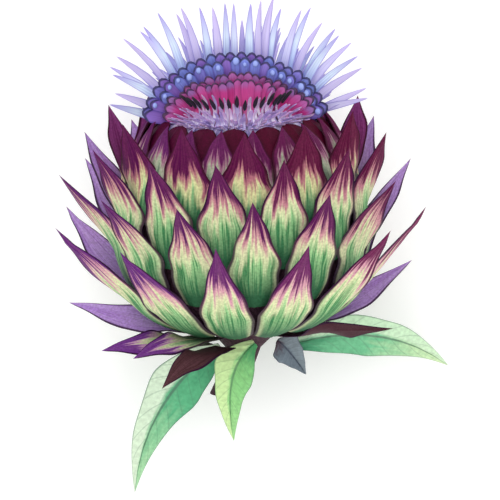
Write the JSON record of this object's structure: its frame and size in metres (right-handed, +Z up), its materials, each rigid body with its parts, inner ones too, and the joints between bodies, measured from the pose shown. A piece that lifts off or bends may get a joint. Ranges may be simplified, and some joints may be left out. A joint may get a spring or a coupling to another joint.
{
  "type": "artichoke",
  "caption": "Globe artichoke in flower with maroon, green and cream bracts, a violet tuft of florets and leaves on a cut stub of stem, lying on its side.",
  "frame": {"origin": "centre of the footprint of the whole artichoke, on the surface that it lies on", "axes": "+Y towards the flower end, +X to the right of the head seen from above, +Z up"},
  "size_m": [0.1524, 0.1924, 0.1249],
  "materials": {
    "heart": "satin brown plant tissue with a matt cut end",
    "maroon_bract": "satin maroon bract",
    "crimson_bract": "satin crimson bract with a green base",
    "rose_bract": "satin rose and green bract with a purple tip",
    "green_bract": "satin green bract with a cream margin and a purple tip",
    "violet_bract": "satin violet brown bract",
    "magenta_floret": "soft magenta florets with dark anthers",
    "violet_floret": "soft violet blue florets with pale round ends",
    "pale_ray": "soft pale blue and lilac rays",
    "green_leaf": "matt green leaf with paler veins",
    "light_leaf": "matt light green leaf",
    "grey_leaf": "matt slate green leaf"
  },
  "bodies": {
    "root": {"heart_and_stem": "heart", "inner_bracts": "maroon_bract", "crown_bract_01": "maroon_bract", "crown_bract_02": "maroon_bract", "crown_bract_03": "maroon_bract", "crown_bract_04": "maroon_bract", "crown_bract_05": "maroon_bract", "crown_bract_06": "maroon_bract", "crown_bract_07": "maroon_bract", "crown_bract_08": "maroon_bract", "crown_bract_09": "maroon_bract", "crown_bract_10": "maroon_bract", "upper_bract_01": "crimson_bract", "upper_bract_02": "crimson_bract", "upper_bract_03": "crimson_bract", "upper_bract_04": "crimson_bract", "upper_bract_05": "crimson_bract", "upper_bract_06": "crimson_bract", "upper_bract_07": "crimson_bract", "upper_bract_08": "crimson_bract", "upper_bract_09": "crimson_bract", "upper_bract_10": "crimson_bract", "upper_bract_11": "crimson_bract", "middle_bract_01": "rose_bract", "middle_bract_02": "rose_bract", "middle_bract_03": "rose_bract", "middle_bract_04": "rose_bract", "middle_bract_05": "rose_bract", "middle_bract_06": "rose_bract", "middle_bract_07": "rose_bract", "middle_bract_08": "rose_bract", "middle_bract_09": "rose_bract", "middle_bract_10": "rose_bract", "middle_bract_11": "rose_bract", "lower_bract_01": "green_bract", "lower_bract_02": "green_bract", "lower_bract_03": "green_bract", "lower_bract_04": "green_bract", "lower_bract_05": "green_bract", "lower_bract_06": "green_bract", "lower_bract_07": "green_bract", "lower_bract_08": "green_bract", "lower_bract_09": "green_bract", "lower_bract_10": "green_bract", "base_bract_01": "violet_bract", "base_bract_02": "violet_bract", "base_bract_03": "violet_bract", "base_bract_04": "violet_bract", "base_bract_05": "violet_bract", "base_bract_06": "violet_bract", "base_bract_07": "violet_bract", "base_bract_08": "violet_bract", "magenta_florets": "magenta_floret", "violet_florets": "violet_floret", "ray_florets": "pale_ray", "leaf_left": "green_leaf", "leaf_centre": "light_leaf", "leaf_right": "green_leaf", "leaf_small": "grey_leaf"}
  },
  "joints": []
}
